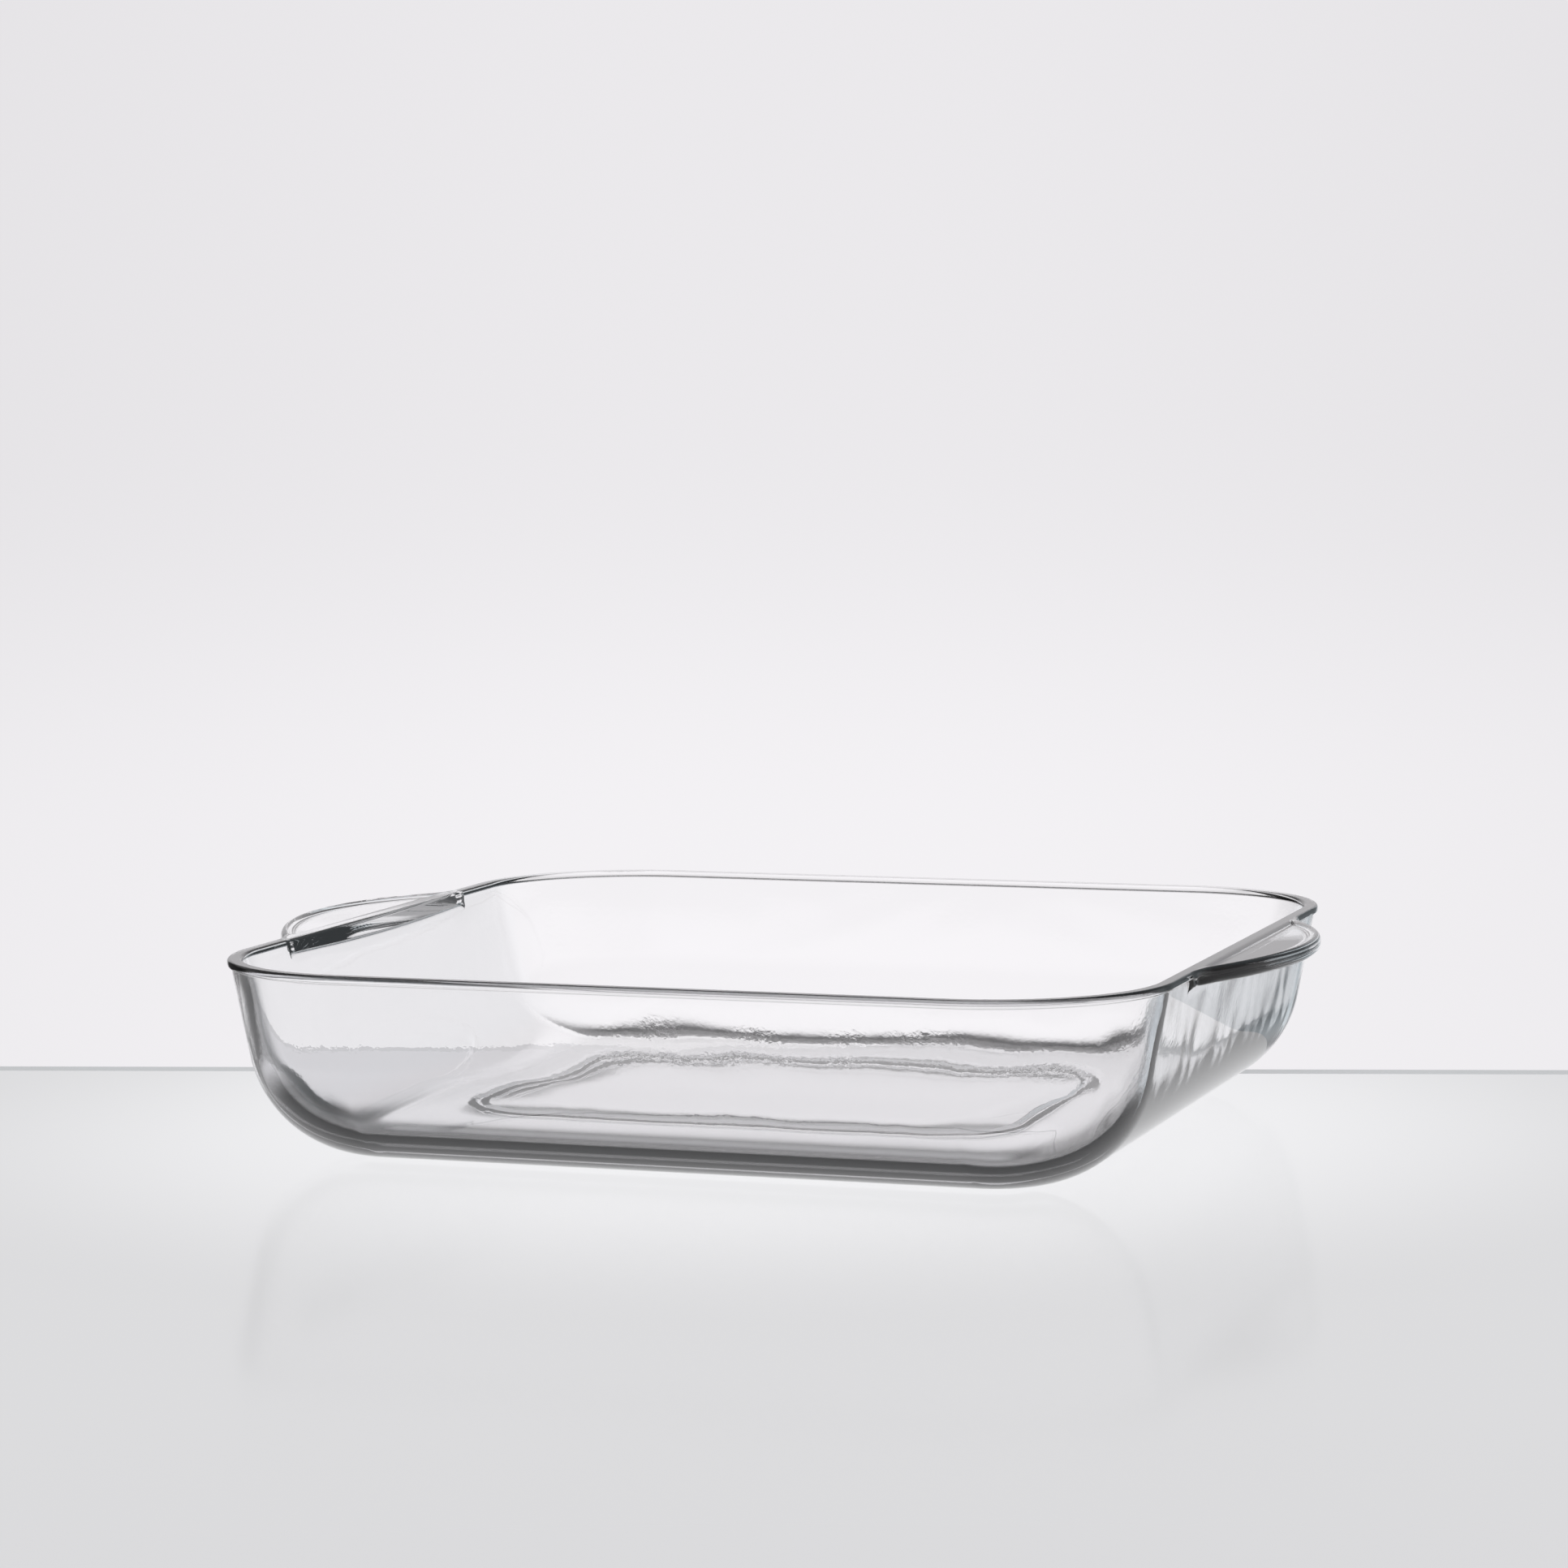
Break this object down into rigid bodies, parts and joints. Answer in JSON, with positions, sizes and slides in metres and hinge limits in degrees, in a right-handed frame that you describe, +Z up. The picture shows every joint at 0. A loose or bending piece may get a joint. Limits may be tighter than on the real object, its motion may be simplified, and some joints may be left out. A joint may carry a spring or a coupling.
{
  "type": "square glass baking dish",
  "caption": "Square clear glass baking dish with sloping walls, round corners, a beaded rim and a tab handle on each of two sides.",
  "frame": {"origin": "centre of the base, on the table plane that the foot ring stands on", "axes": "+X from handle to handle, +Y from front to back, +Z up; the dish is mirrored about X = 0 and Y = 0"},
  "size_m": [0.3182, 0.28, 0.0592],
  "materials": {
    "clear_glass": "clear pressed glass, fire-polished, smooth inside and out"
  },
  "bodies": {
    "root": {"glass_dish": "clear_glass"}
  },
  "joints": []
}
